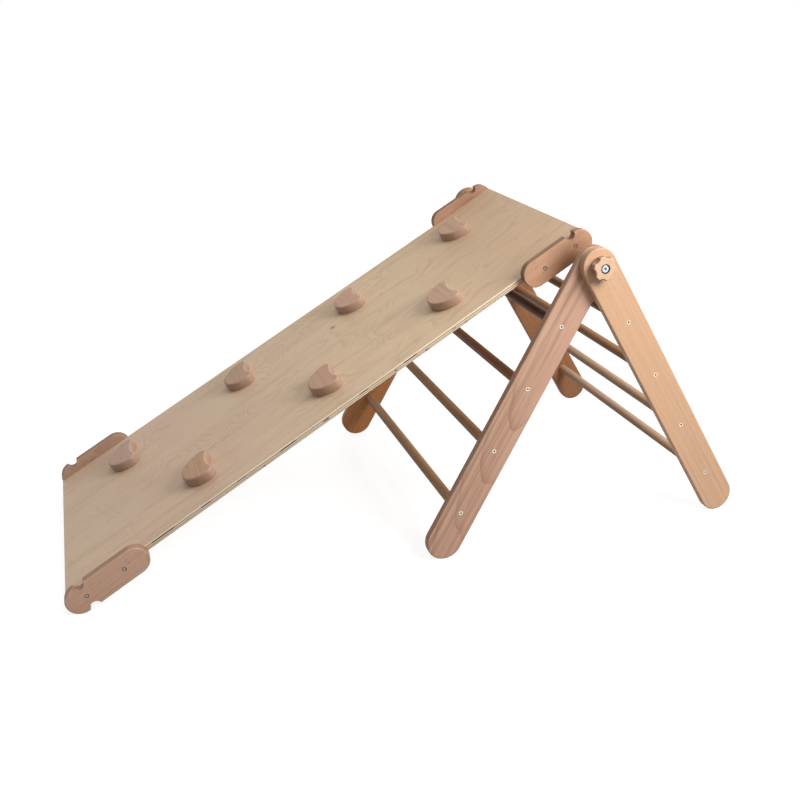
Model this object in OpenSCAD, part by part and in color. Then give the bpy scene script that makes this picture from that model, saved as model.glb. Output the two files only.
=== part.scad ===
// Folding climbing triangle for small children, with a hooked-on climbing ramp.
// Two ladder frames of beech turn on one axle at the top. The ramp hangs on the
// axle by half-round notches in its four cheek plates and its foot stands on the
// floor. X runs along the climb, Y across it, Z up. The origin is on the floor
// under the centre of the whole object.

/* [Ladder frames] */
// Full length of one leg board, over both round ends
leg_len = 700; // [560:10:900]
// Width of a leg board
leg_w = 74; // [56:1:90]
// Thickness of a leg board
leg_t = 18; // [15:1:24]
// Radius of the rounded long edges of the legs
leg_edge_r = 3; // [1:0.5:5]
// Angle of each frame from the vertical
lean = 30; // [24:1:36]
// Width of the inner frame over the outer faces of its legs
inner_frame_w = 662; // [600:2:760]
// Distance from the axle to the first rung, and from rung to rung
rung_pitch = 140; // [120:5:150]
// Diameter of a rung and of the axle dowel
rung_d = 21; // [18:1:28]
// Diameter of the turned tenon on each rung end
tenon_d = 15; // [12:1:17]
// Length of the tenon in the leg
tenon_len = 8; // [5:1:10]

/* [Ramp] */
// Length of the plywood board
board_len = 1200; // [1000:10:1300]
// Width of the plywood board
board_w = 510; // [420:10:540]
// Thickness of the plywood board
board_t = 12; // [9:1:18]
// Radius of the eased edges of the board
board_edge_r = 1; // [0.5:0.25:2]
// Height of a cheek plate
cheek_h = 56; // [50:1:70]
// Thickness of a cheek plate
cheek_t = 18; // [15:1:22]
// Distance from the notch to the inner round end of a cheek
cheek_tail = 127; // [110:1:140]
// Distance from the notch to the end of the board
notch_inset = 40; // [36:1:50]
// Gap between the notch wall and the axle dowel
notch_gap = 0.35; // [0.3:0.05:1.5]
// Radius of the eased edges of a cheek
cheek_edge_r = 2.5; // [1:0.5:4]

/* [Climbing holds] */
// Distance from hold to hold along the ramp
hold_pitch = 148; // [120:1:150]
// Distance of each hold's middle from the ramp's centre line
hold_side = 140; // [100:5:150]
// Radius of a hold's round lower edge
hold_r = 49; // [40:1:56]
// Thickness of a hold
hold_t = 20; // [15:1:30]
// Radius of the two top corners of a hold
hold_lobe_r = 14; // [14:1:22]
// How far the top corners stand above the centre of the round edge
hold_crest = 13; // [8:1:18]
// Depth of the hollow in a hold's top edge
hold_dip = 7; // [3:1:9]

/* [Star knobs] */
// Diameter over the lobes of a star knob
knob_d = 50; // [46:1:64]
// Diameter of a star knob's foot, where it bears on the washer
knob_foot_d = 41; // [34:1:44]
// Depth of a star knob along its bolt
knob_t = 20; // [16:1:28]
// How much of that depth widens from the foot to the lobes
knob_taper = 9; // [5:1:12]
// Number of lobes
knob_lobes = 6; // [5:1:8]
// Depth of the finger scallops
scallop_depth = 4; // [3:0.5:6]
// Radius of the finger scallops
scallop_r = 14; // [9:0.5:15]
// Where the first scallop stands when a knob is tight, in degrees from the outer frame's side
scallop_start = 18; // [0:1:60]
// Radius of the eased edge round a knob's face
knob_edge_r = 2.5; // [1:0.5:3]
// Chamfer along the edge of each scallop
scallop_chamfer = 1.5; // [0.5:0.25:2]

/* [Bolts and screws] */
// Diameter of the clamping bolt
bolt_d = 8; // [6:1:8]
// Diameter of the bolt's head
bolt_head_d = 15.5; // [13:0.5:17]
// Radius of the rounded rim of the bolt's head
bolt_head_edge = 1; // [0.5:0.5:2]
// Height of the bolt's head
bolt_head_t = 5; // [3:0.5:8]
// Diameter of the recess for the bolt's head
recess_d = 19.5; // [18:0.5:22]
// Depth of that recess
recess_depth = 6; // [4:0.5:9]
// Hexagon size of the bolt's socket, across flats
socket_af = 6; // [4:0.5:8]
// Outer diameter of the threaded insert in the axle dowel
insert_d = 12; // [10:0.5:13]
// Length of the threaded insert
insert_len = 20; // [15:1:25]
// Diameter of the washers between the legs and under the knobs
washer_d = 30; // [22:1:40]
// Thickness of a washer
washer_t = 1; // [0.8:0.1:2]
// Diameter of a wood screw's shank
screw_d = 4; // [3:0.5:5]
// Diameter of a wood screw's head
screw_head_d = 8.6; // [7:0.1:10]
// Length of the screws in the legs and cheeks
screw_len = 45; // [35:1:60]
// How far the screws of a hold bite into it, through the board
hold_screw_bite = 14; // [10:1:14]

/* [Hidden] */
$fn = 72;
// Facets of a circle that rounds an edge
edge_facets = 32;
// Rungs in each frame, and holds on the ramp, right and left by turns
rungs = 4;
holds = 7;
// Running clearance of a turning bolt in its hole, on the radius
run_gap = 0.06;
// Clearance between flat faces that slide on each other
slide_gap = 0.2;
// Clearance of pieces glued or screwed into each other
seat_gap = 0.05;
// Depth of a screw's cone and how far its head lies below the wood
screw_cone = 2.6;
screw_sink = 0.2;
// Length of a screw's point
screw_point = 6;
// Depth of a hexagon socket
socket_depth = 3.5;
// Distance between the two screws of a cheek
cheek_screw_pitch = 78;
// Distance of a hold's screws from its middle
hold_screw_side = 26;
// Play at the bottom of a blind hole
end_play = 0.4;
// How far the bolt's end stands past its insert, and the room round it there
bolt_past = 2;
bolt_room = 1;
// Small overlap that makes cuts run clear through a face
cut = 1;

rung_r = rung_d / 2;
leg_r = leg_w / 2;
leg_reach = leg_len - leg_w;
leg_gap = washer_t + slide_gap;
inner_face_y = inner_frame_w / 2 - leg_t;
outer_leg_in_y = inner_frame_w / 2 + leg_gap;
outer_leg_out_y = outer_leg_in_y + leg_t;
knob_base_y = outer_leg_out_y + washer_t + slide_gap;
pivot_z = leg_reach * cos(lean) + leg_r;
// How far the bolt reaches into the axle dowel, and where its head seats
bolt_reach = insert_len + bolt_past;
bolt_seat_y = knob_base_y + knob_t - recess_depth;

cheek_r = cheek_h / 2;
notch_r = rung_r + notch_gap;
notch_span = board_len - 2 * notch_inset;
// The ramp tilts until the round foot of its lower cheeks stands on the floor
foot_s = notch_span + notch_inset - cheek_r;
foot_dist = sqrt(foot_s * foot_s + cheek_r * cheek_r);
ramp_slope = asin((pivot_z - cheek_r) / foot_dist) + atan(cheek_r / foot_s);

hold_screw_len = board_t + hold_screw_bite;

// Ends of the whole object along X, measured from the axle
foot_x = -foot_s * cos(ramp_slope) - cheek_r * sin(ramp_slope) - cheek_r;
leg_x = leg_reach * sin(lean) + leg_r;
pivot_x = -(foot_x + leg_x) / 2;

// A hold's top edge is a hollow arc that runs smoothly into two round corners
lobe_y = hold_lobe_r - hold_crest;
lobe_x = sqrt(pow(hold_r - hold_lobe_r, 2) - lobe_y * lobe_y);
dip_r = (pow(lobe_x, 2) + pow(lobe_y + hold_crest - hold_dip, 2) - pow(hold_lobe_r, 2))
    / (2 * (hold_lobe_r - lobe_y - hold_crest + hold_dip));
dip_y = hold_crest - hold_dip + dip_r;
// Height where a corner runs into the round lower edge, and its meeting with the hollow
bowl_meet_y = -lobe_y * hold_r / (hold_r - hold_lobe_r);
dip_meet_x = lobe_x * dip_r / (dip_r + hold_lobe_r);
dip_meet_y = dip_y - (dip_y + lobe_y) * dip_r / (dip_r + hold_lobe_r);

// ---------- shared shapes ----------

// Rectangle with round corners, centred
module eased_rect(w, h, r) {
    square([w - 2 * r, h], center = true);
    square([w, h - 2 * r], center = true);
    for (sx = [-1, 1], sy = [-1, 1])
        translate([sx * (w / 2 - r), sy * (h / 2 - r)])
            circle(r = r, $fn = edge_facets);
}

// Half disc with a rounded rim, flat side on the plane z = 0, axis along Y
module half_disc(r, t, edge) {
    rotate([90, 0, 0])
        rotate_extrude(angle = 180)
            intersection() {
                eased_rect(2 * r, t, edge);
                translate([0, -t / 2])
                    square([r, t]);
            }
}

// Board with two round ends and eased edges, hanging from the centre of its upper
// round, with its middle plane on y = 0
module round_board(reach, w, t, edge) {
    half_disc(w / 2, t, edge);
    translate([0, 0, -reach])
        linear_extrude(reach)
            eased_rect(w, t, edge);
    translate([0, 0, -reach])
        mirror([0, 0, 1])
            half_disc(w / 2, t, edge);
}

// Flat board, centred, with eased edges all round
module eased_board(len, w, t, edge) {
    intersection() {
        rotate([90, 0, 90])
            linear_extrude(len, center = true)
                eased_rect(w, t, edge);
        rotate([90, 0, 0])
            linear_extrude(w, center = true)
                eased_rect(len, t, edge);
    }
}

// Disc of radius r and height h with a rounded upper rim
module eased_disc(r, h, edge) {
    rotate_extrude() {
        square([r, h - edge]);
        square([r - edge, h]);
        translate([r - edge, h - edge])
            intersection() {
                circle(r = edge, $fn = edge_facets);
                square(edge);
            }
    }
}

// Cutter of radius r that leaves a chamfered edge where it comes out at height h
module chamfer_cut(r, h, chamfer) {
    rotate_extrude()
        polygon([[0, -cut], [r, -cut], [r, h - chamfer], [r + chamfer + cut, h + cut],
            [0, h + cut]]);
}

// Countersunk wood screw, head on the plane z = 0, point towards -Z
module wood_screw(len) {
    translate([0, 0, -screw_sink])
        rotate_extrude()
            polygon([[0, 0], [screw_head_d / 2, 0], [screw_d / 2, -screw_cone],
                [screw_d / 2, screw_point - len], [0, -len]]);
}

// Hole for such a screw through a board of thickness t
module screw_hole(t) {
    rotate_extrude()
        polygon([[0, cut], [screw_head_d / 2 + seat_gap, cut],
            [screw_head_d / 2 + seat_gap, -screw_sink],
            [screw_d / 2 + seat_gap, -screw_sink - screw_cone],
            [screw_d / 2 + seat_gap, -t - cut], [0, -t - cut]]);
}

// Pilot hole that takes the part of a screw beyond a board of thickness t
module pilot_hole(len, t) {
    translate([0, 0, -len - screw_sink - end_play])
        cylinder(r = screw_d / 2 + seat_gap, h = len - t + screw_sink + end_play + cut);
}

// ---------- placing ----------

// Turns a frame that hangs straight down from the axle to its lean
module at_lean(side) {
    translate([pivot_x, 0, pivot_z])
        rotate([0, -side * lean, 0])
            children();
}

// Places a shape of the ramp: X up the slope from the axle, Z out of the board,
// zero on the board's middle plane
module on_ramp() {
    translate([pivot_x, 0, pivot_z])
        rotate([0, -ramp_slope, 0])
            translate([0, 0, cheek_r])
                children();
}

// Near side as drawn, far side as its mirror image
module on_side(far) {
    mirror([0, far, 0])
        children();
}

// ---------- ladder frames ----------

// One leg, hanging from the axle, with its inner face at y = -face_y
module leg(face_y) {
    translate([0, -face_y - leg_t / 2, 0])
        difference() {
            round_board(leg_reach, leg_w, leg_t, leg_edge_r);
            rotate([90, 0, 0])
                cylinder(r = bolt_d / 2 + run_gap, h = leg_t + 2 * cut, center = true);
            for (i = [1 : rungs])
                translate([0, 0, -i * rung_pitch]) {
                    translate([0, leg_t / 2 + cut, 0])
                        rotate([90, 0, 0])
                            cylinder(d = tenon_d + 2 * seat_gap, h = tenon_len + end_play + cut);
                    translate([0, -leg_t / 2, 0])
                        rotate([90, 0, 0])
                            screw_hole(leg_t);
                }
        }
}

// Dowel across a frame, between leg faces at y = -face_y and y = face_y
module rung(face_y) {
    difference() {
        union() {
            rotate([90, 0, 0])
                cylinder(r = rung_r, h = 2 * face_y, center = true);
            rotate([90, 0, 0])
                cylinder(d = tenon_d, h = 2 * (face_y + tenon_len), center = true);
        }
        for (far = [0, 1])
            on_side(far)
                translate([0, -face_y - leg_t, 0])
                    rotate([90, 0, 0])
                        pilot_hole(screw_len, leg_t - tenon_len);
    }
}

module frame_screws(face_y) {
    for (i = [1 : rungs], far = [0, 1])
        on_side(far)
            translate([0, -face_y - leg_t, -i * rung_pitch])
                rotate([90, 0, 0])
                    wood_screw(screw_len);
}

module inner_leg(far) {
    color("rosybrown")
        at_lean(-1)
            on_side(far)
                leg(inner_face_y);
}

module outer_leg(far) {
    color("burlywood")
        at_lean(1)
            on_side(far)
                leg(outer_leg_in_y);
}

module inner_rung(i) {
    color("peru")
        at_lean(-1)
            translate([0, 0, -i * rung_pitch])
                rung(inner_face_y);
}

module outer_rung(i) {
    color("peru")
        at_lean(1)
            translate([0, 0, -i * rung_pitch])
                rung(outer_leg_in_y);
}

module inner_rung_screws() {
    color("silver")
        at_lean(-1)
            frame_screws(inner_face_y);
}

module outer_rung_screws() {
    color("silver")
        at_lean(1)
            frame_screws(outer_leg_in_y);
}

// ---------- axle and star knobs ----------

// Dowel on the turning axis, which the ramp hooks over
module axle_dowel() {
    color("peru")
        translate([pivot_x, 0, pivot_z])
            difference() {
                rotate([90, 0, 0])
                    cylinder(r = rung_r, h = 2 * inner_face_y, center = true);
                for (far = [0, 1])
                    on_side(far)
                        translate([0, -inner_face_y - cut, 0])
                            rotate([-90, 0, 0]) {
                                cylinder(d = insert_d + 2 * seat_gap, h = insert_len + cut);
                                cylinder(r = bolt_d / 2 + bolt_room, h = bolt_reach + end_play + cut);
                            }
            }
}

// Threaded insert, flush with the end of the axle dowel
module axle_insert(far) {
    color("gainsboro")
        translate([pivot_x, 0, pivot_z])
            on_side(far)
                translate([0, -inner_face_y, 0])
                    rotate([-90, 0, 0])
                        difference() {
                            cylinder(d = insert_d, h = insert_len);
                            translate([0, 0, -cut])
                                cylinder(r = bolt_d / 2 + run_gap, h = insert_len + 2 * cut);
                        }
}

// Thin washer with its inner face at y = -face_y
module washer(face_y) {
    translate([pivot_x, -face_y, pivot_z])
        rotate([90, 0, 0])
            difference() {
                cylinder(d = washer_d, h = washer_t);
                translate([0, 0, -cut])
                    cylinder(r = bolt_d / 2 + run_gap, h = washer_t + 2 * cut);
            }
}

module leg_washer(far) {
    color("whitesmoke")
        on_side(far)
            washer(inner_frame_w / 2);
}

module knob_washer(far) {
    color("silver")
        on_side(far)
            washer(outer_leg_out_y);
}

// Grip turned narrower at its foot, with finger scallops round its rim and a recess
// for the bolt's head
module star_knob(far) {
    color("wheat")
        on_side(far)
            translate([pivot_x, -knob_base_y, pivot_z])
                rotate([90, 0, 0])
                    difference() {
                        union() {
                            cylinder(d1 = knob_foot_d, d2 = knob_d, h = knob_taper);
                            translate([0, 0, knob_taper])
                                eased_disc(knob_d / 2, knob_t - knob_taper, knob_edge_r);
                        }
                        for (i = [0 : knob_lobes - 1])
                            rotate(scallop_start + i * 360 / knob_lobes)
                                translate([knob_d / 2 - scallop_depth + scallop_r, 0, 0])
                                    chamfer_cut(scallop_r, knob_t, scallop_chamfer);
                        translate([0, 0, -cut])
                            cylinder(r = bolt_d / 2 + seat_gap, h = knob_t + 2 * cut);
                        translate([0, 0, knob_t - recess_depth])
                            cylinder(d = recess_d, h = recess_depth + cut);
                    }
}

// Bolt with a round head and hexagon socket, through knob and legs into the insert
module knob_bolt(far) {
    color("lightgray")
        on_side(far)
            translate([pivot_x, -bolt_seat_y, pivot_z])
                rotate([90, 0, 0])
                    difference() {
                        union() {
                            eased_disc(bolt_head_d / 2, bolt_head_t, bolt_head_edge);
                            translate([0, 0, inner_face_y - bolt_reach - bolt_seat_y])
                                cylinder(d = bolt_d, h = bolt_seat_y - inner_face_y + bolt_reach);
                        }
                        translate([0, 0, bolt_head_t - socket_depth])
                            cylinder(d = socket_af / cos(30), h = socket_depth + cut, $fn = 6);
                    }
}

// ---------- ramp ----------

// One cheek plate: round tail at -X, a notch in both edges at x = 0, round lobe at +X
module cheek(far) {
    on_side(far)
        translate([0, -board_w / 2 - cheek_t / 2, 0])
            difference() {
                translate([notch_inset - cheek_r, 0, 0])
                    rotate([0, 90, 0])
                        round_board(cheek_tail + notch_inset - cheek_h, cheek_h, cheek_t,
                            cheek_edge_r);
                for (s = [-1, 1])
                    translate([0, 0, s * cheek_r])
                        rotate([90, 0, 0])
                            cylinder(r = notch_r, h = cheek_t + 2 * cut, center = true);
                for (s = [0, 1])
                    translate([-s * cheek_screw_pitch, -cheek_t / 2, 0])
                        rotate([90, 0, 0])
                            screw_hole(cheek_t);
            }
}

module upper_cheek(far) {
    color("burlywood")
        on_ramp()
            cheek(far);
}

module lower_cheek(far) {
    color("burlywood")
        on_ramp()
            translate([-notch_span, 0, 0])
                mirror([1, 0, 0])
                    cheek(far);
}

// Screw places of the cheeks, along the ramp
function cheek_screw_xs() = [0, -cheek_screw_pitch, cheek_screw_pitch - notch_span, -notch_span];

module cheek_screws() {
    color("silver")
        on_ramp()
            for (x = cheek_screw_xs(), far = [0, 1])
                on_side(far)
                    translate([x, -board_w / 2 - cheek_t, 0])
                        rotate([90, 0, 0])
                            wood_screw(screw_len);
}

// Place of a hold's round centre along the ramp and across it
hold_mid = (hold_r - hold_crest) / 2;
function hold_x(i) = hold_mid - notch_span / 2 + ((holds + 1) / 2 - i) * hold_pitch;
function hold_y(i) = (i % 2 == 1 ? 1 : -1) * hold_side;

module ramp_board() {
    color("tan")
        on_ramp()
            difference() {
                translate([notch_inset - board_len / 2, 0, 0])
                    eased_board(board_len, board_w, board_t, board_edge_r);
                for (x = cheek_screw_xs(), far = [0, 1])
                    on_side(far)
                        translate([x, -board_w / 2 - cheek_t, 0])
                            rotate([90, 0, 0])
                                pilot_hole(screw_len, cheek_t);
                for (i = [1 : holds], s = [-1, 1])
                    translate([hold_x(i), hold_y(i) + s * hold_screw_side, -board_t / 2])
                        rotate([180, 0, 0])
                            screw_hole(board_t);
            }
}

// Half-moon outline, hollow top edge towards +Y
module hold_outline() {
    difference() {
        union() {
            intersection() {
                rotate(90)
                    circle(r = hold_r);
                translate([-hold_r, -hold_r])
                    square([2 * hold_r, hold_r + bowl_meet_y]);
            }
            for (s = [-1, 1])
                translate([s * lobe_x, -lobe_y])
                    rotate(-90)
                        circle(r = hold_lobe_r);
            translate([-lobe_x, bowl_meet_y - cut])
                square([2 * lobe_x, cut + max(0, -lobe_y - bowl_meet_y)]);
            translate([-dip_meet_x, -lobe_y - cut])
                square([2 * dip_meet_x, dip_meet_y + lobe_y + cut]);
        }
        translate([0, dip_y])
            circle(r = dip_r);
    }
}

module hold(i) {
    color("burlywood")
        on_ramp()
            translate([hold_x(i), hold_y(i), board_t / 2])
                difference() {
                    rotate(-90)
                        linear_extrude(hold_t)
                            hold_outline();
                    for (s = [-1, 1])
                        translate([0, s * hold_screw_side, -board_t])
                            rotate([180, 0, 0])
                                pilot_hole(hold_screw_len, board_t);
                }
}

module hold_screws() {
    color("silver")
        on_ramp()
            for (i = [1 : holds], s = [-1, 1])
                translate([hold_x(i), hold_y(i) + s * hold_screw_side, -board_t / 2])
                    rotate([180, 0, 0])
                        wood_screw(hold_screw_len);
}

inner_leg(0);  // inner_leg_near
inner_leg(1);  // inner_leg_far
outer_leg(0);  // outer_leg_near
outer_leg(1);  // outer_leg_far
inner_rung(1);  // inner_rung_1
inner_rung(2);  // inner_rung_2
inner_rung(3);  // inner_rung_3
inner_rung(4);  // inner_rung_4
outer_rung(1);  // outer_rung_1
outer_rung(2);  // outer_rung_2
outer_rung(3);  // outer_rung_3
outer_rung(4);  // outer_rung_4
axle_dowel();
axle_insert(0);  // axle_insert_near
axle_insert(1);  // axle_insert_far
leg_washer(0);  // leg_washer_near
leg_washer(1);  // leg_washer_far
knob_washer(0);  // knob_washer_near
knob_washer(1);  // knob_washer_far
star_knob(0);  // star_knob_near
star_knob(1);  // star_knob_far
knob_bolt(0);  // knob_bolt_near
knob_bolt(1);  // knob_bolt_far
inner_rung_screws();
outer_rung_screws();
ramp_board();
upper_cheek(0);  // upper_cheek_near
upper_cheek(1);  // upper_cheek_far
lower_cheek(0);  // lower_cheek_near
lower_cheek(1);  // lower_cheek_far
hold(1);  // hold_1
hold(2);  // hold_2
hold(3);  // hold_3
hold(4);  // hold_4
hold(5);  // hold_5
hold(6);  // hold_6
hold(7);  // hold_7
cheek_screws();
hold_screws();
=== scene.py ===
import math
import random
import bmesh
import bpy
from mathutils import Matrix, Vector


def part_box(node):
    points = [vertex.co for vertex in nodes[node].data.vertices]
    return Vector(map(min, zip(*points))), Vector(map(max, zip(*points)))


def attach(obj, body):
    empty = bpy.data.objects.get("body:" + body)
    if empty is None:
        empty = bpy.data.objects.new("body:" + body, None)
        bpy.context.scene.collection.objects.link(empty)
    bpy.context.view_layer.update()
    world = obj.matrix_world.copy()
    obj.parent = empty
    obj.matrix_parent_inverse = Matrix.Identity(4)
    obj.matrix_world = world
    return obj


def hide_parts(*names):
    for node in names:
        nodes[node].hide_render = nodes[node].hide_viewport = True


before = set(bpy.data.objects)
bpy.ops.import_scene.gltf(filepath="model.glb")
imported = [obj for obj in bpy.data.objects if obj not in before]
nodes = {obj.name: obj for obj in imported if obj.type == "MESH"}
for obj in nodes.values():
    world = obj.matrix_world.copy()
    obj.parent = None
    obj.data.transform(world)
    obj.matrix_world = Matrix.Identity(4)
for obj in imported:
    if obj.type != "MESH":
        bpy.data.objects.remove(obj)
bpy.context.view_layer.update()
MM = 0.001

# ---------- Viewpoint ----------
# The triangle is seen from in front and a little above, left of its middle, so
# that the ramp's top, the near legs and the knob all show.
eye = Vector((-0.61092, -2.01999, 1.07646))
eye_yaw = -0.38127
eye_pitch = -0.25271
eye_roll = 0.00908
picture = 800
focal = 1011.10
middle_x = 469.12
middle_y = 262.17
sensor_width = 36.0

sight = Vector((
    -math.sin(eye_yaw) * math.cos(eye_pitch),
    math.cos(eye_yaw) * math.cos(eye_pitch),
    math.sin(eye_pitch),
))
level = Vector((math.cos(eye_yaw), math.sin(eye_yaw), 0.0))
upright = level.cross(sight)
right = math.cos(eye_roll) * level + math.sin(eye_roll) * upright
top = math.cos(eye_roll) * upright - math.sin(eye_roll) * level
camera_data = bpy.data.cameras.new("viewpoint")
camera_data.sensor_width = sensor_width
camera_data.lens = sensor_width * focal / picture
camera_data.shift_x = (picture / 2 - middle_x) / picture
camera_data.shift_y = (middle_y - picture / 2) / picture
camera = bpy.data.objects.new("viewpoint", camera_data)
camera.matrix_world = Matrix.Translation(eye) @ Matrix(
    (right, top, -sight)
).transposed().to_4x4()
bpy.context.scene.collection.objects.link(camera)
bpy.context.scene.camera = camera

# ---------- Floor and light ----------
# A plain white studio: a wide pale floor, a dim even room, a soft lamp at the front
# right, which leaves what faces left darker, soft light from above, and a low lamp
# behind that lights the far side.
floor_half = 9.0
floor_bounce = 0.30
floor_seen = 0.34
glow_near = 0.84
glow_far = 1.0
glow_start = 0.7
glow_end = 2.6
room_light = 0.21
room_seen = 1.0
lamp_spot = Vector((1.00, -1.45, 1.60))
lamp_width = 1.1
lamp_power = 39.0
lit_spot = Vector((0.05, -0.10, 0.35))
sky_way = Vector((0.05, 0.05, 1.0))
sky_strength = 0.80
sky_angle = math.radians(60)
back_way = Vector((0.30, 1.0, 0.177))
back_strength = 1.2
back_angle = math.radians(20)


def seen_directly(tree):
    # 1 where the eye, a reflection or a look through glass meets it, else 0
    ray = tree.nodes.new("ShaderNodeLightPath")
    share = ray.outputs["Is Camera Ray"]
    for kind in ("Is Glossy Ray", "Is Transmission Ray"):
        either = tree.nodes.new("ShaderNodeMath")
        either.operation = "MAXIMUM"
        tree.links.new(share, either.inputs[0])
        tree.links.new(ray.outputs[kind], either.inputs[1])
        share = either.outputs[0]
    return share


floor_mesh = bpy.data.meshes.new("studio_floor")
floor_mesh.from_pydata(
    [(-floor_half, -floor_half, 0), (floor_half, -floor_half, 0),
     (floor_half, floor_half, 0), (-floor_half, floor_half, 0)],
    [], [(0, 1, 2, 3)],
)
floor = bpy.data.objects.new("studio_floor", floor_mesh)
bpy.context.scene.collection.objects.link(floor)

floor_finish = bpy.data.materials.new("studio_floor")
floor_finish.use_nodes = True
tree = floor_finish.node_tree
tree.nodes.clear()
paints = []
for grey in (floor_bounce, floor_seen):
    paint = tree.nodes.new("ShaderNodeBsdfDiffuse")
    paint.inputs["Color"].default_value = (grey, grey, grey, 1)
    paints.append(paint)
where = tree.nodes.new("ShaderNodeNewGeometry")
away = tree.nodes.new("ShaderNodeVectorMath")
away.operation = "LENGTH"
rise = tree.nodes.new("ShaderNodeMapRange")
rise.interpolation_type = "SMOOTHSTEP"
for socket, number in zip(rise.inputs[1:5], (glow_start, glow_end, glow_near, glow_far)):
    socket.default_value = number
glow = tree.nodes.new("ShaderNodeEmission")
both = tree.nodes.new("ShaderNodeAddShader")
pick = tree.nodes.new("ShaderNodeMixShader")
out = tree.nodes.new("ShaderNodeOutputMaterial")
tree.links.new(where.outputs["Position"], away.inputs[0])
tree.links.new(away.outputs["Value"], rise.inputs[0])
tree.links.new(rise.outputs[0], glow.inputs["Strength"])
tree.links.new(paints[1].outputs[0], both.inputs[0])
tree.links.new(glow.outputs[0], both.inputs[1])
tree.links.new(seen_directly(tree), pick.inputs[0])
tree.links.new(paints[0].outputs[0], pick.inputs[1])
tree.links.new(both.outputs[0], pick.inputs[2])
tree.links.new(pick.outputs[0], out.inputs["Surface"])
floor_mesh.materials.append(floor_finish)

room = bpy.data.worlds.new("studio_room")
bpy.context.scene.world = room
room.use_nodes = True
tree = room.node_tree
tree.nodes.clear()
pick = tree.nodes.new("ShaderNodeMixShader")
out = tree.nodes.new("ShaderNodeOutputWorld")
tree.links.new(seen_directly(tree), pick.inputs[0])
for socket, strength in zip(pick.inputs[1:3], (room_light, room_seen)):
    wall = tree.nodes.new("ShaderNodeBackground")
    wall.inputs["Color"].default_value = (1, 1, 1, 1)
    wall.inputs["Strength"].default_value = strength
    tree.links.new(wall.outputs[0], socket)
tree.links.new(pick.outputs[0], out.inputs["Surface"])

lamp_data = bpy.data.lights.new("front_lamp", "AREA")
lamp_data.shape = "DISK"
lamp_data.size = lamp_width
lamp_data.energy = lamp_power
lamp = bpy.data.objects.new("front_lamp", lamp_data)
lamp.location = lamp_spot
lamp.rotation_mode = "QUATERNION"
lamp.rotation_quaternion = (lamp_spot - lit_spot).to_track_quat("Z", "Y")
bpy.context.scene.collection.objects.link(lamp)
for name, way, strength, spread in (
        ("sky_lamp", sky_way, sky_strength, sky_angle),
        ("back_lamp", back_way, back_strength, back_angle)):
    sun_data = bpy.data.lights.new(name, "SUN")
    sun_data.energy = strength
    sun_data.angle = spread
    sun = bpy.data.objects.new(name, sun_data)
    sun.rotation_mode = "QUATERNION"
    sun.rotation_quaternion = way.to_track_quat("Z", "Y")
    # a low sun mirrored in the varnish would whiten the ramp
    sun.visible_glossy = name != "back_lamp"
    bpy.context.scene.collection.objects.link(sun)
bpy.context.scene.view_settings.view_transform = "Standard"

# ---------- Legs ----------
# Four boards of planed beech, 18 mm thick, with round ends and eased edges, two to
# each frame. Oiled, not lacquered. Each was cut from another plank, so the near inner
# one is pink with strong growth lines and the outer ones are plainer and lighter.
axle = Vector((333.5861 * MM, 0.0, 579.1319 * MM))
lean = math.radians(30)
plank_up = {
    "inner": Vector((math.sin(lean), 0.0, math.cos(lean))),
    "outer": Vector((-math.sin(lean), 0.0, math.cos(lean))),
}


def tone(red, green, blue):
    # a colour given as a screen's numbers from 0 to 255, made linear
    return tuple(
        (c / 255 / 12.92) if c <= 10 else ((c / 255 + 0.055) / 1.055) ** 2.4
        for c in (red, green, blue)
    ) + (1.0,)


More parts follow.
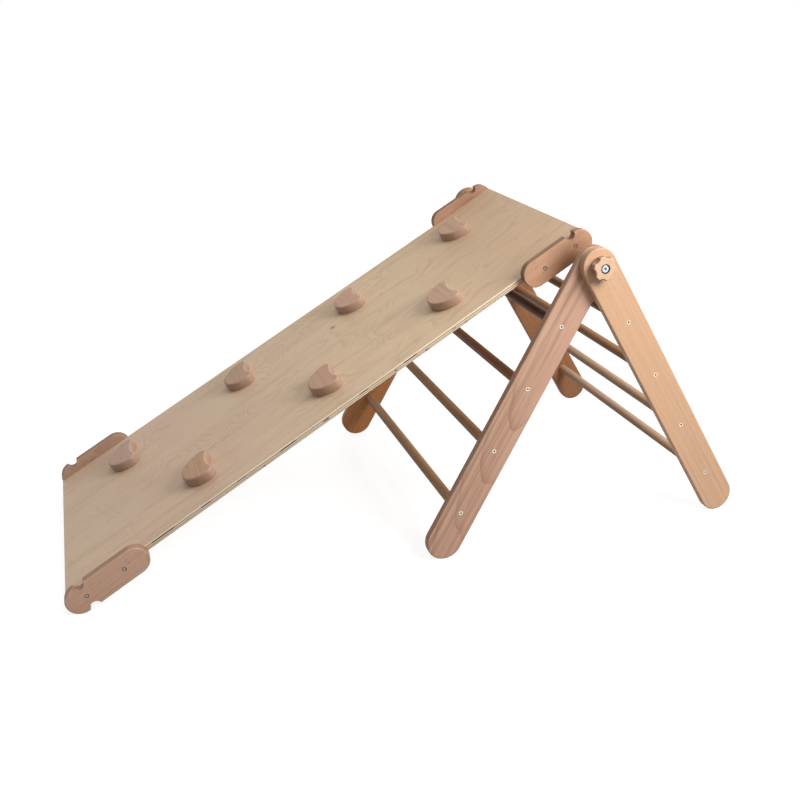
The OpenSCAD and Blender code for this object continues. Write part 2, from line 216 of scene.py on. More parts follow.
class Finish:
    # a material with its shader, and short ways to add nodes to it

    def __init__(self, name):
        self.material = bpy.data.materials.new(name)
        self.material.use_nodes = True
        self.tree = self.material.node_tree
        self.shader = self.tree.nodes["Principled BSDF"]

    def node(self, kind, **settings):
        made = self.tree.nodes.new(kind)
        for key, value in settings.items():
            setattr(made, key, value)
        return made

    def feed(self, socket, value):
        if isinstance(value, bpy.types.NodeSocket):
            self.tree.links.new(value, socket)
        else:
            socket.default_value = value

    def math(self, kind, first, second=0.0, third=0.0, clamp=False):
        made = self.node("ShaderNodeMath", operation=kind, use_clamp=clamp)
        for socket, value in zip(made.inputs, (first, second, third)):
            self.feed(socket, value)
        return made.outputs[0]

    def lay_grain(self, start, along, flat):
        # Z along the grain, Y out of the board's face, X across its width
        across = flat.cross(along)
        turned = Matrix((across, flat, along)).transposed().to_euler("XYZ")
        self.spot = self.node("ShaderNodeTexCoord").outputs["Object"]
        made = self.node("ShaderNodeMapping", vector_type="TEXTURE")
        made.inputs["Location"].default_value = start
        made.inputs["Rotation"].default_value = turned
        self.feed(made.inputs["Vector"], self.spot)
        self.place = made.outputs[0]

    def vector(self, kind, first, second=(0.0, 0.0, 0.0)):
        # arithmetic with vectors; a length or a dot product comes out as a number
        made = self.node("ShaderNodeVectorMath", operation=kind)
        self.feed(made.inputs[0], first)
        self.feed(made.inputs[1], second)
        return made.outputs["Value" if kind in ("LENGTH", "DOT_PRODUCT") else "Vector"]

    def distance(self, place, centre, weights=(1.0, 1.0, 1.0)):
        # how far a place lies from the centre, with a weight on each axis
        away = self.vector("SUBTRACT", place, centre)
        return self.vector("LENGTH", self.vector("MULTIPLY", away, weights))

    def reverse(self, share):
        return self.math("SUBTRACT", 1.0, share)

    def stretched(self, across, through, along, shift=0.0):
        # the place scaled for a texture with about so many features to the metre
        made = self.node("ShaderNodeMapping", vector_type="POINT")
        made.inputs["Scale"].default_value = (across, through, along)
        made.inputs["Location"].default_value = (shift, 0.7 * shift, 1.3 * shift)
        self.feed(made.inputs["Vector"], self.place)
        return made.outputs[0]

    def cloud(self, vector, detail=2.0, rough=0.5, warp=0.0):
        made = self.node("ShaderNodeTexNoise")
        made.inputs["Scale"].default_value = 1.0
        made.inputs["Distortion"].default_value = warp
        made.inputs["Detail"].default_value = detail
        made.inputs["Roughness"].default_value = rough
        self.feed(made.inputs["Vector"], vector)
        return made.outputs["Fac"]

    def ramp(self, value, low, high, smooth=True):
        made = self.node("ShaderNodeMapRange")
        made.interpolation_type = "SMOOTHSTEP" if smooth else "LINEAR"
        for socket, number in zip(made.inputs, (value, low, high, 0.0, 1.0)):
            self.feed(socket, number)
        return made.outputs[0]

    def mix(self, share, first, second, kind="MIX"):
        made = self.node("ShaderNodeMix", data_type="RGBA", blend_type=kind)
        self.feed(made.inputs[0], share)
        self.feed(made.inputs[6], first)
        self.feed(made.inputs[7], second)
        return made.outputs[2]

    def blend(self, mask, strength, first, second):
        # from first toward second where the mask is light, by strength at the most
        return self.mix(self.math("MULTIPLY", mask, strength), first, second)

    def raise_fibres(self, height, depth, strength):
        made = self.node("ShaderNodeBump")
        made.inputs["Strength"].default_value = strength
        made.inputs["Distance"].default_value = depth
        self.feed(made.inputs["Height"], height)
        self.feed(self.shader.inputs["Normal"], made.outputs[0])


def beech(name, start, along, flat, light, dark, seed, blush=None, ring_gap=6.0,
          pith=(25.0, 60.0), drift=(1.2, 0.6), sway=0.010, thin=3.0, line=0.5,
          calm=None, streak=0.35, fleck=0.5, end_dark=0.30, edge_shade=0.25,
          edge_shade_tone=None, edge_turn=(0.15, 0.75), inner_face_shade=None):
    # Oiled beech, from a light to a dark tone: growth rings ring_gap mm wide, round a pith
    # that lies pith mm beside and behind start and leans by drift degrees, streaks along
    # the grain, short dark flecks, a blush in patches, darker end grain, and edges painted
    # darker as painted shade. line, streak, fleck and end_dark say how strongly each shows,
    # and the edge strength how strongly the painted shade on the edges shows. Rings wander
    # by sway metres, are thinner with a higher thin, and with calm they only come in from
    # so many metres down the board. The last argument multiplies the face turned from flat
    # by a tone, as painted shade.
    wood = Finish(name)
    wood.lay_grain(start, along, flat)
    wander = wood.node("ShaderNodeTexNoise")
    wander.inputs["Scale"].default_value = 1.0
    wander.inputs["Detail"].default_value = 1.5
    wood.feed(wander.inputs["Vector"], wood.stretched(16.0, 16.0, 3.2, seed))
    push = wood.vector("SUBTRACT", wander.outputs["Color"], (0.5, 0.5, 0.5))
    push = wood.vector("MULTIPLY", push, (sway, sway, sway))
    log = wood.node("ShaderNodeMapping", vector_type="POINT")
    log.inputs["Location"].default_value = (pith[0] * MM, pith[1] * MM, 0)
    log.inputs["Rotation"].default_value = (
        math.radians(drift[0]), math.radians(drift[1]), 0)
    wood.feed(log.inputs["Vector"], wood.vector("ADD", wood.place, push))
    # at a scale of 1 the wave comes back every tau / 20 metres
    rings = wood.node("ShaderNodeTexWave", wave_type="RINGS", rings_direction="Z",
                      wave_profile="SAW")
    rings.inputs["Scale"].default_value = math.tau / (20 * ring_gap * MM)
    rings.inputs["Distortion"].default_value = 0.0
    wood.feed(rings.inputs["Vector"], log.outputs[0])
    late = wood.math("POWER", rings.outputs["Fac"], thin)
    patch = wood.cloud(wood.stretched(22.0, 22.0, 2.0, seed + 5.0), 2.0)
    late = wood.math("MULTIPLY", late, wood.ramp(patch, 0.20, 0.62))
    if calm:
        spread = wood.node("ShaderNodeSeparateXYZ")
        wood.feed(spread.inputs[0], wood.place)
        down = wood.math("MULTIPLY", spread.outputs[2], -1.0)
        late = wood.math("MULTIPLY", late, wood.ramp(down, *calm))
    bands = wood.cloud(wood.stretched(130.0, 130.0, 2.2, seed + 2.0), 4.0, 0.6)
    hairs = wood.cloud(wood.stretched(620.0, 620.0, 12.0, seed + 3.0), 3.0, 0.6)
    dashes = wood.cloud(wood.stretched(700.0, 700.0, 95.0, seed + 4.0), 1.0)
    dashes = wood.ramp(dashes, 0.66, 0.76)
    shade = wood.cloud(wood.stretched(9.0, 9.0, 1.6, seed + 6.0), 1.0)

    colour = wood.blend(late, line, light, dark)
    colour = wood.blend(wood.ramp(bands, 0.42, 0.72), streak, colour, dark)
    colour = wood.blend(wood.ramp(hairs, 0.45, 0.75), 0.7 * streak, colour, dark)
    deep = tuple(0.62 * c for c in dark[:3]) + (1.0,)
    colour = wood.blend(dashes, fleck, colour, deep)
    if blush is None:
        blush = tuple(min(1.0, c * k) for c, k in zip(light[:3], (1.06, 1.0, 0.94))) + (1.0,)
    colour = wood.blend(wood.ramp(shade, 0.42, 0.68), 0.45, colour, blush)

    # which way the surface is turned: along the grain at the ends, across it at the edges
    normal = wood.node("ShaderNodeVectorTransform", vector_type="NORMAL",
                       convert_from="WORLD", convert_to="OBJECT")
    wood.feed(normal.inputs[0], wood.node("ShaderNodeNewGeometry").outputs["Normal"])
    end_way = wood.vector("DOT_PRODUCT", normal.outputs[0], along)
    face_way = wood.vector("DOT_PRODUCT", normal.outputs[0], flat)
    # the face turned from flat is multiplied by a tone, as painted shade
    if inner_face_shade:
        shaded_inner_face = wood.reverse(wood.ramp(face_way, -0.9, 0.9, smooth=False))
        colour = wood.mix(shaded_inner_face, colour, inner_face_shade, "MULTIPLY")
    # faces not turned like flat are painted toward the edge tone, as painted shade
    edge = wood.reverse(wood.ramp(wood.math("ABSOLUTE", face_way), *edge_turn))
    colour = wood.blend(edge, edge_shade, colour, edge_shade_tone or dark)
    ends = wood.ramp(wood.math("ABSOLUTE", end_way), 0.35, 0.95)
    colour = wood.blend(ends, end_dark, colour, deep)
    wood.feed(wood.shader.inputs["Base Color"], colour)
    wood.feed(wood.shader.inputs["Roughness"], wood.math("MULTIPLY_ADD", hairs, 0.22, 0.43))
    wood.shader.inputs["Specular IOR Level"].default_value = 0.35
    relief = wood.math("SUBTRACT", hairs, wood.math("MULTIPLY", dashes, 0.6))
    wood.raise_fibres(relief, 0.25 * MM, 0.30)
    wood.colour = colour
    return wood


def dress(node, material):
    # gives a carried-over solid its finish
    piece = nodes[node]
    piece.data.materials.clear()
    piece.data.materials.append(material)
    return piece


# the far legs' faces turned toward the near frame are multiplied by a darker, warmer tone, as
# painted shade
leg_woods = {
    "inner_leg_near": dict(light=tone(216, 174, 147), dark=tone(142, 98, 76), seed=3.0,
                           blush=tone(206, 158, 136), ring_gap=11.6, pith=(-17.0, 153.8),
                           drift=(5.0, -5.4), sway=0.013, thin=8.0, line=0.66,
                           calm=(0.20, 0.33), streak=0.60, fleck=0.2),
    "inner_leg_far": dict(light=tone(222, 178, 140), dark=tone(174, 128, 92), seed=11.0,
                          inner_face_shade=tone(248, 218, 181), ring_gap=6.0, pith=(30.0, 22.0),
                          drift=(-1.6, 0.5), line=0.5),
    "outer_leg_near": dict(light=tone(222, 180, 145), dark=tone(190, 144, 108), seed=21.0,
                           blush=tone(224, 176, 138), ring_gap=9.0, pith=(70.0, 26.0),
                           drift=(0.8, 0.4), line=0.30, streak=0.30, fleck=0.40),
    "outer_leg_far": dict(light=tone(220, 176, 140), dark=tone(166, 122, 88), seed=31.0,
                          inner_face_shade=tone(188, 164, 140), ring_gap=8.0, pith=(-20.0, 24.0),
                          drift=(1.8, 0.5), line=0.45),
}
for leg, look in leg_woods.items():
    body = leg.split("_")[0]
    low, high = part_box(leg)
    near = leg.endswith("near")
    side = Vector((0, -1, 0)) if near else Vector((0, 1, 0))
    face = axle + Vector((0, low.y if near else high.y, 0))
    finish = beech(leg + "_beech", face, plank_up[body], side, **look)
    dress(leg, finish.material)

# ---------- Rungs and axle dowel ----------
# Nine plain turned beech dowels, 21 mm thick, oiled. Four stand in blind holes in the
# legs of each frame; the ninth is the axle, which the ramp hooks over.
rung_pitch = 140 * MM
# the top two rungs of each frame, which lie under the ramp, are painted darker, as painted
# shade
rung_tones_and_shade = {
    "inner": [
        (tone(104, 66, 36), tone(72, 44, 22)),
        (tone(162, 108, 70), tone(114, 72, 44)),
        (tone(198, 154, 110), tone(150, 106, 70)),
        (tone(200, 158, 116), tone(152, 110, 76)),
    ],
    "outer": [
        (tone(128, 88, 56), tone(92, 60, 36)),
        (tone(162, 118, 78), tone(114, 78, 48)),
        (tone(198, 164, 132), tone(152, 116, 86)),
        (tone(194, 160, 132), tone(148, 112, 86)),
    ],
}
sideways = Vector((0, 1, 0))
upward = Vector((0, 0, 1))
for body, tones_and_shade in rung_tones_and_shade.items():
    first_seed = 40.0 if body == "inner" else 70.0
    for number, (light, dark) in enumerate(tones_and_shade, 1):
        start = axle - plank_up[body] * rung_pitch * number
        finish = beech(f"{body}_rung_{number}_beech", start, sideways, upward, light, dark,
                       seed=first_seed + 7 * number, ring_gap=3.2, pith=(14.0, 9.0),
                       drift=(0.7, 0.3), line=0.5, streak=0.5, fleck=0.35)
        dress(f"{body}_rung_{number}", finish.material)
finish = beech("axle_dowel_beech", axle, sideways, upward, tone(206, 164, 122),
               tone(160, 114, 76), seed=95.0, ring_gap=3.0, pith=(12.0, 16.0),
               drift=(0.6, 0.3), line=0.45, streak=0.5, fleck=0.35)
dress("axle_dowel", finish.material)

# ---------- Star knobs ----------
# Two hand knobs turned from pale beech, scalloped round the rim and chamfered. The
# grain runs across the face, so the scallops cut through it and show darker end grain;
# their walls are also painted darker, as painted shade.
bolt_recess_r = 9.75 * MM
knob_grain = Vector((0.5, 0, 0.866))
off_the_bolt = (1.0, 0.0, 1.0)
for side, name in ((-1, "star_knob_near"), (1, "star_knob_far")):
    finish = beech(name + "_beech", axle, knob_grain, Vector((0, side, 0)),
                   tone(228, 192, 162), tone(150, 102, 70), seed=60.0 + side,
                   ring_gap=3.5, pith=(20.0, 14.0), drift=(2.0, 1.0), line=0.20,
                   streak=0.2, fleck=0.3, end_dark=0.30, edge_shade=0.60)
    # the wall and floor of the bolt's recess are painted dark, as painted shade
    reach = finish.distance(finish.spot, axle, off_the_bolt)
    recess = finish.reverse(
        finish.ramp(reach, bolt_recess_r - 0.1 * MM, bolt_recess_r + 0.3 * MM))
    finish.feed(finish.shader.inputs["Base Color"],
                finish.blend(recess, 0.75, finish.colour, tone(70, 46, 30)))
    dress(name, finish.material)

# ---------- Bolts, inserts and washers ----------
# Zinc-plated steel: a round-headed bolt with a hexagon socket in each knob, a threaded
# insert in each end of the axle, and a washer under the knob. Between the legs lies a
# thin nylon washer, so that wood doesn't rub on wood.


def plated(name, colour, rough, scale=900.0):
    # plated metal: fine mottling in the colour and the gloss
    metal = Finish(name)
    metal.lay_grain(axle, sideways, upward)
    mottle = metal.cloud(metal.stretched(scale, scale, scale, 1.0), 3.0, 0.6)
    dull = tuple(0.78 * c for c in colour[:3]) + (1.0,)
    metal.colour = metal.mix(metal.ramp(mottle, 0.35, 0.75), colour, dull)
    metal.feed(metal.shader.inputs["Base Color"], metal.colour)
    metal.feed(metal.shader.inputs["Roughness"],
               metal.math("MULTIPLY_ADD", mottle, 0.20, rough - 0.10))
    metal.shader.inputs["Metallic"].default_value = 1.0
    metal.raise_fibres(mottle, 0.05 * MM, 0.2)
    return metal


bolt = plated("bolt_steel", tone(222, 228, 232), 0.30)
# the hexagon socket and the rim of the head are painted dark, as painted shade
reach = bolt.distance(bolt.spot, axle, off_the_bolt)
socket = bolt.reverse(bolt.ramp(reach, 2.3 * MM, 3.1 * MM))
rim = bolt.ramp(reach, 6.2 * MM, 7.3 * MM)
steel = bolt.blend(socket, 0.85, bolt.colour, tone(46, 54, 64))
steel = bolt.blend(rim, 0.80, steel, tone(70, 66, 64))
bolt.feed(bolt.shader.inputs["Base Color"], steel)
insert_steel = plated("insert_zinc", tone(214, 214, 208), 0.38).material
washer_steel = plated("washer_zinc", tone(205, 208, 208), 0.42).material
for side in ("near", "far"):
    dress("knob_bolt_" + side, bolt.material)
    dress("axle_insert_" + side, insert_steel)
    dress("knob_washer_" + side, washer_steel)

nylon = Finish("washer_nylon")
nylon.lay_grain(axle, sideways, upward)
mist = nylon.cloud(nylon.stretched(300.0, 300.0, 300.0, 2.0), 2.0)
nylon.feed(nylon.shader.inputs["Base Color"],
           nylon.mix(mist, tone(236, 234, 226), tone(220, 218, 208)))
nylon.feed(nylon.shader.inputs["Roughness"], nylon.math("MULTIPLY_ADD", mist, 0.2, 0.42))
nylon.raise_fibres(mist, 0.1 * MM, 0.2)
for side in ("near", "far"):
    dress("leg_washer_" + side, nylon.material)

# ---------- Wood screws ----------
# Zinc-plated countersunk screws with a cross recess, 4 mm thick. One goes through the
# leg into each rung end, two through each cheek into the board's edge, and two up
# through the board into each climbing step.
screw_head_r = 4.3 * MM
screw_r = 2.0 * MM
screw_cone = 2.6 * MM
screw_sink = 0.2 * MM
screw_point = 6.0 * MM
recess_reach = 2.5 * MM
recess_half = 0.85 * MM
recess_deep = 2.3 * MM
long_screw = 45 * MM
fine_mottle = 1500.0
screw_zinc = plated("screw_zinc", tone(240, 232, 218), 0.50, fine_mottle).material
# the cross recess is painted near black, as painted shade
painted_recess_shade = plated("screw_recess", tone(62, 52, 44), 0.70, fine_mottle).material


def cross_outline(reach, half):
    # the twelve corners of a plus
    corners = []
    for quarter in range(4):
        turn = quarter * math.pi / 2
        for x, y in ((reach, -half), (reach, half), (half, half)):
            corners.append((x * math.cos(turn) - y * math.sin(turn),
                            x * math.sin(turn) + y * math.cos(turn)))
    return corners


def screw_shape(length):
    # rings of one outline from the floor of the recess, over the head and down
    # the cone to the point; a corner's angle is kept on the round rings
    shape = bmesh.new()
    corners = cross_outline(recess_reach, recess_half)
    cuts = 4
    spots = []
    for k, corner in enumerate(corners):
        following = corners[(k + 1) % len(corners)]
        for step in range(cuts):
            share = step / cuts
            spots.append((corner[0] + (following[0] - corner[0]) * share,
                          corner[1] + (following[1] - corner[1]) * share))
    angles = [math.atan2(y, x) for x, y in spots]

    def plus(scale, z):
        return [shape.verts.new((x * scale, y * scale, z)) for x, y in spots]

    def round_ring(radius, z):
        return [shape.verts.new((radius * math.cos(a), radius * math.sin(a), z))
                for a in angles]

    face = -screw_sink
    recess_rings = [
        plus(0.42, face - recess_deep),
        plus(0.80, face - 0.75 * recess_deep),
        plus(1.0, face - 0.12 * MM),
        plus(1.07, face),
    ]
    rings = recess_rings + [
        round_ring(0.80 * screw_head_r, face),
        round_ring(screw_head_r - 0.15 * MM, face - 0.02 * MM),
        round_ring(screw_head_r, face - 0.15 * MM),
        round_ring(screw_head_r - 0.02 * MM, face - 0.3 * MM),
        round_ring(screw_r, face - screw_cone),
        round_ring(screw_r, face - length + screw_point),
        round_ring(0.15 * MM, face - length + 0.1 * MM),
    ]
    count = len(spots)
    for level_number, (inner, outer) in enumerate(zip(rings, rings[1:])):
        for k in range(count):
            made = shape.faces.new((inner[k], inner[(k + 1) % count],
                                    outer[(k + 1) % count], outer[k]))
            made.material_index = 1 if level_number < len(recess_rings) - 1 else 0
    shape.faces.new(list(reversed(rings[0]))).material_index = 1
    shape.faces.new(rings[-1])
    bmesh.ops.recalc_face_normals(shape, faces=shape.faces)
    return shape


def screw_set(name, node, body, places, length, head=screw_zinc, recess=painted_recess_shade):
    # places: surface point and outward direction of each head
    pattern = bpy.data.meshes.new(name + "_pattern")
    shape = screw_shape(length)
    shape.to_mesh(pattern)
    shape.free()
    whole = bmesh.new()
    turn = random.Random(name)
    for spot, outward in places:
        stand = outward.to_track_quat("Z", "X").to_matrix().to_4x4()
        spin = Matrix.Rotation(turn.uniform(0, math.pi / 2), 4, "Z")
        pattern_copy = pattern.copy()
        pattern_copy.transform(Matrix.Translation(spot) @ stand @ spin)
        whole.from_mesh(pattern_copy)
        bpy.data.meshes.remove(pattern_copy)
    mesh = bpy.data.meshes.new(name)
    whole.to_mesh(mesh)
    whole.free()
    bpy.data.meshes.remove(pattern)
    mesh.materials.append(head)
    mesh.materials.append(recess)
    piece = bpy.data.objects.new(name, mesh)
    bpy.context.scene.collection.objects.link(piece)
    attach(piece, body)
    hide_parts(node)
    return piece


for body in ("inner", "outer"):
    face_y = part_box(body + "_leg_far")[1].y
    places = []
    for number in range(1, len(rung_tones_and_shade[body]) + 1):
        for side in (-1, 1):
            spot = axle - plank_up[body] * rung_pitch * number
            places.append((spot + Vector((0, side * face_y, 0)), Vector((0, side, 0))))
    screw_set(body + "_rung_screw_set", body + "_rung_screws", body + "_frame", places,
              long_screw)

# ---------- Ramp board ----------
# One sheet of nine-ply birch, 12 mm thick, sawn to size, eased at its edges and varnished
# clear. The face veneer is peeled off the log, so its figure is broad and wavy; the edge
# shows the plies in light and dark bands, with a few gaps in the core.
ramp_slope = math.radians(30.54193)
board_t = 12 * MM
board_w = 510 * MM
cheek_r = 28 * MM
plies = 9
up_slope = Vector((math.cos(ramp_slope), 0, math.sin(ramp_slope)))
off_board = Vector((-math.sin(ramp_slope), 0, math.cos(ramp_slope)))
board_mid = axle + off_board * cheek_r


def ramp_spot(along, across, out):
    # a place on the ramp: up the slope from the axle, across, and out of the board
    return board_mid + up_slope * along + Vector((0, across, 0)) + off_board * out


ply = Finish("board_plywood")
ply.lay_grain(board_mid, up_slope, off_board)
spread = ply.node("ShaderNodeSeparateXYZ")
ply.feed(spread.inputs[0], ply.place)
across, through, along = spread.outputs

# the face: a peeled veneer with fine broken ring lines, which close into loops and
# swirls toward the foot and run nearly straight toward the top
lines_per_metre = 14.0
top_swirl = 11.0
foot_swirl = 29.0
swell = ply.math("SUBTRACT", ply.cloud(ply.stretched(8.5, 1.0, 4.8, 4.0), 1.6, 0.36, 0.5), 0.5)
foot_share = ply.reverse(ply.ramp(along, -0.85, -0.15))
swirl = ply.math("MULTIPLY_ADD", foot_share, foot_swirl - top_swirl, top_swirl)
peel = ply.math("MULTIPLY_ADD", across, lines_per_metre, ply.math("MULTIPLY", swell, swirl))
peel = ply.math("POWER", ply.math("FRACT", peel), 2.8)
veil = ply.cloud(ply.stretched(17.0, 1.0, 8.0, 9.0), 2.0)
peel = ply.math("MULTIPLY", peel, ply.ramp(veil, 0.38, 0.60))
hair = ply.cloud(ply.stretched(420.0, 420.0, 16.0, 1.0), 3.0, 0.6)
band = ply.cloud(ply.stretched(48.0, 48.0, 5.0, 2.0), 3.0, 0.55, 0.5)
dash = ply.ramp(ply.cloud(ply.stretched(520.0, 520.0, 75.0, 3.0), 1.0), 0.68, 0.78)
tint = ply.cloud(ply.stretched(4.0, 1.0, 3.0, 6.0), 2.0)
face_dark = tone(182, 142, 110)
face_colour = ply.mix(ply.ramp(tint, 0.35, 0.65), tone(235, 206, 176), tone(232, 200, 172))
face_colour = ply.mix(ply.ramp(along, -0.95, -0.35), face_colour, tone(239, 209, 172))
# the first mask paints the face darker toward the top of the ramp, as painted shade; the
# others darken it by the figure
for mask, strength in (
        (ply.ramp(along, -0.36, -0.04), 0.38),
        (peel, 0.30),
        (ply.ramp(band, 0.45, 0.75), 0.22),
        (ply.ramp(hair, 0.5, 0.8), 0.16)):
    face_colour = ply.blend(mask, strength, face_colour, face_dark)
face_colour = ply.blend(dash, 0.25, face_colour, tone(150, 112, 82))

# knots and dark marks: place up the slope and across in mm, radius, strength
for knot_along, knot_across, knot_r, knot_dark in (
        (-474.8, 90.2, 11.0, 0.75), (-343.0, 90.8, 5.0, 0.35), (-53.8, -92.3, 5.0, 0.5)):
    centre = (knot_across * MM, board_t / 2, knot_along * MM)
    mark = ply.reverse(ply.ramp(ply.distance(ply.place, centre), 0.0, knot_r * MM))
    face_colour = ply.blend(mark, knot_dark, face_colour, tone(112, 76, 54))

# the edge: nine plies from the underside up, in light and dark bands; the light plies,
# the face veneer on top most of all, are painted near white, partly as a painted
# highlight, and the bottom ply is painted dark as painted shade
ply_tones_and_light = [(160, 132, 106), (255, 238, 212), (188, 162, 134), (206, 180, 152),
             (255, 234, 208), (186, 160, 132), (198, 170, 142), (255, 238, 208),
             (255, 237, 207)]
just_inside = 0.9998
layer = ply.math("MULTIPLY_ADD", through, just_inside / board_t, 0.5)
stack = ply.node("ShaderNodeValToRGB")
stack.color_ramp.interpolation = "CONSTANT"
stops = stack.color_ramp.elements
while len(stops) < plies:
    stops.new(1.0)
for k, ply_tone in enumerate(ply_tones_and_light):
    stops[k].position = k / plies
    stops[k].color = tone(*ply_tone)
ply.feed(stack.inputs[0], layer)
core = ply.blend(ply.ramp(band, 0.45, 0.75), 0.25, stack.outputs[0], tone(176, 148, 120))
pore = ply.cloud(ply.stretched(1.0, 700.0, 420.0, 8.0), 1.0)
core = ply.blend(ply.ramp(pore, 0.5, 0.7), 0.16, core, tone(150, 118, 90))

# gaps between the strips of the core: how many plies up, from and to where along the
# slope in mm, how dark
height = ply.math("MULTIPLY", layer, float(plies))
for gap_height, gap_low, gap_high, gap_dark in (
        (6.2, -984, -930, 1.0), (6.2, -876, -852, 0.85), (6.2, -797, -776, 0.60),
        (6.2, -704, -660, 1.0), (6.2, -519, -497, 0.90), (6.2, -416, -381, 1.0),
        (4.5, -604, -589, 0.85), (4.0, -438, -430, 0.80), (4.5, -300, -288, 0.50),
        (2.0, -742, -735, 0.60), (2.0, -366, -357, 0.80), (2.0, -271, -262, 0.60)):
    here = ply.math("COMPARE", height, gap_height, 0.8)
    gap_middle = (gap_low + gap_high) / 2 * MM
    gap_half = (gap_high - gap_low) / 2 * MM
    off_middle = ply.math("ABSOLUTE", ply.math("SUBTRACT", along, gap_middle))
    gap = ply.reverse(ply.ramp(off_middle, 0.75 * gap_half, gap_half))
    core = ply.blend(ply.math("MULTIPLY", here, gap), gap_dark, core, tone(44, 28, 16))
on_a_face = ply.math("GREATER_THAN", ply.math("ABSOLUTE", through), board_t / 2 - 0.02 * MM)
ply.feed(ply.shader.inputs["Base Color"], ply.mix(on_a_face, core, face_colour))
ply.feed(ply.shader.inputs["Roughness"], ply.math("MULTIPLY_ADD", hair, 0.2, 0.40))
ply.shader.inputs["Specular IOR Level"].default_value = 0.35
ply.raise_fibres(ply.math("SUBTRACT", hair, ply.math("MULTIPLY", dash, 0.5)), 0.2 * MM, 0.2)
dress("ramp_board", ply.material)

# ---------- Cheek plates ----------
# Four beech plates screwed to the board's long edges, two at the top and two at the
# foot. Round at both ends, with a half-round notch in each edge that fits the axle, so
# that the ramp hooks on either way up. Eased edges, oiled.
cheek_tones = {
    "upper_cheek_near": (tone(200, 157, 127), tone(122, 84, 58), 71.0),
    "upper_cheek_far": (tone(186, 145, 120), tone(128, 90, 66), 73.0),
    "lower_cheek_near": (tone(222, 180, 154), tone(152, 110, 82), 76.0),
    "lower_cheek_far": (tone(196, 160, 138), tone(142, 104, 80), 79.0),
}
notch_span = 1120 * MM
shadow_along = -22 * MM
shadow_down = 14 * MM
shadow_r = 58 * MM
shadow_weights = (1.0, 0.0, 0.75)
for name, (light, dark, seed) in cheek_tones.items():
    start = ramp_spot(0.0 if name.startswith("upper") else -notch_span, 0.0, 0.0)
    side = Vector((0, -1, 0)) if name.endswith("near") else Vector((0, 1, 0))
    # their edges are painted darker, as painted shade
    finish = beech(name + "_beech", start, up_slope, side, light, dark, seed=seed,
                   ring_gap=8.0, pith=(18.0, 60.0), drift=(2.0, 1.0), line=0.25,
                   streak=0.3, fleck=0.85, end_dark=0.30, edge_shade=0.70)
    if name.startswith("upper"):
        # a painted shadow: the wood round the axle is darkened where the leg and knob shade it
        reach = finish.distance(
            finish.place, (shadow_down * side.y, 0.0, shadow_along), shadow_weights)
        painted_shadow = finish.reverse(finish.ramp(reach, 0.0, shadow_r))
        finish.feed(finish.shader.inputs["Base Color"],
                    finish.blend(painted_shadow, 0.80, finish.colour, dark))
    dress(name, finish.material)

# their screws are dark grey on the head and pale in the recess
cheek_screw_pitch = 78 * MM
cheek_t = 18 * MM
cheek_face = board_w / 2 + cheek_t
grey_zinc = plated("cheek_screw_zinc", tone(104, 94, 88), 0.50, fine_mottle).material
pale_recess_steel = plated("cheek_screw_recess", tone(214, 208, 202), 0.50, fine_mottle).material
places = []
for along in (0.0, -cheek_screw_pitch, cheek_screw_pitch - notch_span, -notch_span):
    for side in (-1, 1):
        places.append((ramp_spot(along, side * cheek_face, 0.0), Vector((0, side, 0))))
screw_set("cheek_screw_set", "cheek_screws", "ramp", places, long_screw, grey_zinc, pale_recess_steel)

# ---------- Climbing steps ----------
# Seven half-moon blocks of beech, 20 mm thick, the hollow edge up the slope. Sanded
# round on the top edge, screwed on from below, right and left of the middle by turns.
# Their grain runs across the ramp.
step_r = 49 * MM
step_t = 20 * MM
lobe_r = 14 * MM
crest = 13 * MM
dip = 7 * MM
step_ease = 3.8 * MM
foot_ease = 0.4 * MM
ease_cuts = 8
flat_rims = (2.0 * MM, 6.0 * MM)
step_pitch = 148 * MM
step_side = 140 * MM
step_mid = (step_r - crest) / 2
step_screw_side = 26 * MM
short_screw = 26 * MM
lobe_y = lobe_r - crest
lobe_x = math.sqrt((step_r - lobe_r) ** 2 - lobe_y ** 2)
dip_r = (lobe_x ** 2 + (lobe_y + crest - dip) ** 2 - lobe_r ** 2) / (
    2 * (lobe_r - lobe_y - crest + dip))
dip_y = crest - dip + dip_r


def arc(cx, cy, radius, start, end, count, outward=1):
    # points on an arc, each with its outward direction; -1 for a hollow arc
    made = []
    for k in range(count):
        a = start + (end - start) * k / count
        way = (math.cos(a), math.sin(a))
        made.append(((cx + radius * way[0], cy + radius * way[1]),
                     (outward * way[0], outward * way[1])))
    return made


def step_outline():
    # round lower edge, right corner, hollow, left corner, as one smooth loop
    to_lobe = math.atan2(-lobe_y, lobe_x)
    dip_way = math.atan2(-lobe_y - dip_y, lobe_x)
    loop = arc(0, 0, step_r, -math.pi - to_lobe, to_lobe, 48)
    loop += arc(lobe_x, -lobe_y, lobe_r, to_lobe, dip_way + math.pi, 22)
    loop += arc(0, dip_y, dip_r, dip_way, -math.pi - dip_way, 26, -1)
    loop += arc(-lobe_x, -lobe_y, lobe_r, -dip_way, math.pi - to_lobe, 22)
    return loop


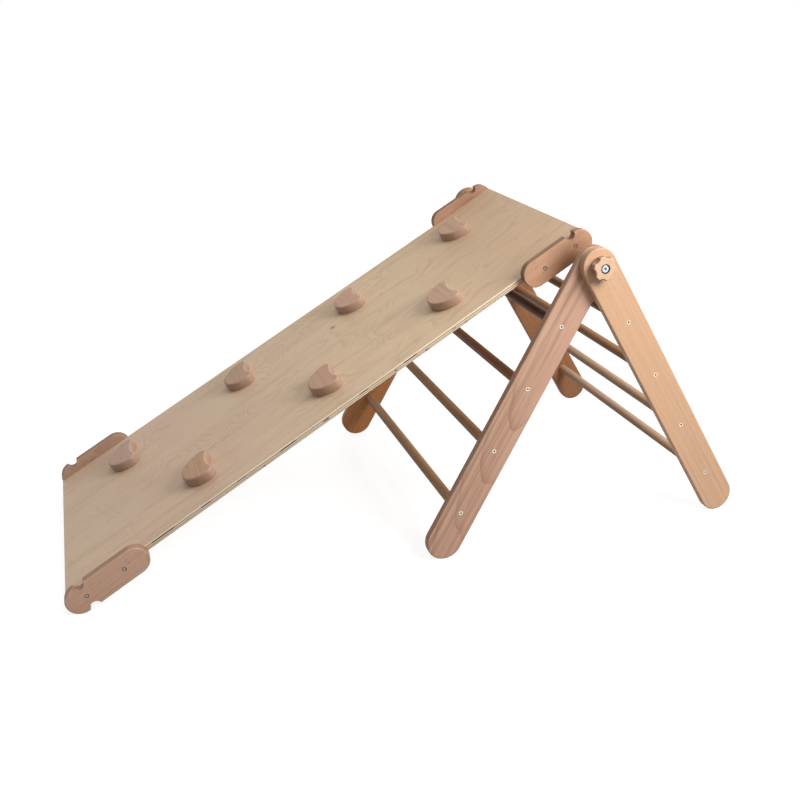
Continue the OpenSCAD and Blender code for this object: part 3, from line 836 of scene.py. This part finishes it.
def step_block(name):
    # rings of the outline from the board up: a small bevel, the straight wall, the
    # rounded edge, and two more on the top, so that it shades flat
    shape = bmesh.new()
    loop = step_outline()
    levels = [(foot_ease, 0.0), (0.0, foot_ease), (0.0, step_t - step_ease)]
    for k in range(1, ease_cuts + 1):
        a = k / ease_cuts * math.pi / 2
        levels.append((step_ease * (1 - math.cos(a)),
                       step_t - step_ease + step_ease * math.sin(a)))
    for rim in flat_rims:
        levels.append((step_ease + rim, step_t))
    rings = []
    for inset, height in levels:
        # the outline's Y is up the slope, which is the ramp's own X
        rings.append([
            shape.verts.new((p[1] - n[1] * inset, -(p[0] - n[0] * inset), height))
            for p, n in loop])
    for low, high in zip(rings, rings[1:]):
        for k in range(len(loop)):
            after = (k + 1) % len(loop)
            shape.faces.new((low[k], low[after], high[after], high[k]))
    shape.faces.new(list(reversed(rings[0])))
    shape.faces.new(rings[-1])
    bmesh.ops.recalc_face_normals(shape, faces=shape.faces)
    for face in shape.faces:
        face.smooth = len(face.verts) == 4
    mesh = bpy.data.meshes.new(name)
    shape.to_mesh(mesh)
    shape.free()
    return mesh


step_tones = [
    (tone(210, 172, 143), tone(160, 120, 92), 0.30),
    (tone(212, 174, 143), tone(160, 120, 92), 0.40),
    (tone(216, 176, 147), tone(164, 122, 94), 0.30),
    (tone(216, 174, 144), tone(156, 112, 82), 0.60),
    (tone(202, 166, 142), tone(150, 112, 88), 0.50),
    (tone(214, 172, 140), tone(148, 104, 74), 0.85),
    (tone(206, 172, 152), tone(156, 118, 98), 0.25),
]
middle_step = (len(step_tones) + 1) // 2
upright_on_ramp = Matrix((up_slope, sideways, off_board)).transposed().to_4x4()
places = []
for number, (light, dark, line) in enumerate(step_tones, 1):
    name = f"climbing_step_{number}"
    along = step_mid - notch_span / 2 + (middle_step - number) * step_pitch
    side = step_side if number % 2 else -step_side
    spot = ramp_spot(along, side, board_t / 2)
    piece = bpy.data.objects.new(name, step_block(name))
    piece.data.transform(Matrix.Translation(spot) @ upright_on_ramp)
    # the walls and the eased top rim are painted greyer and darker, as painted shade
    finish = beech(name + "_beech", spot, sideways, off_board, light, dark,
                   seed=110.0 + 9 * number, ring_gap=3.4, pith=(70.0 + 6 * number, 30.0),
                   drift=(3.0, 5.0), sway=0.006, line=line, streak=0.35, fleck=0.45,
                   end_dark=0.0, edge_shade=0.80, edge_shade_tone=tone(174, 146, 130),
                   edge_turn=(0.45, 0.97))
    piece.data.materials.append(finish.material)
    bpy.context.scene.collection.objects.link(piece)
    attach(piece, "ramp")
    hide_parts(f"hold_{number}")
    for offset in (-step_screw_side, step_screw_side):
        places.append((ramp_spot(along, side + offset, -board_t / 2), -off_board))
screw_set("climbing_step_screw_set", "hold_screws", "ramp", places, short_screw)
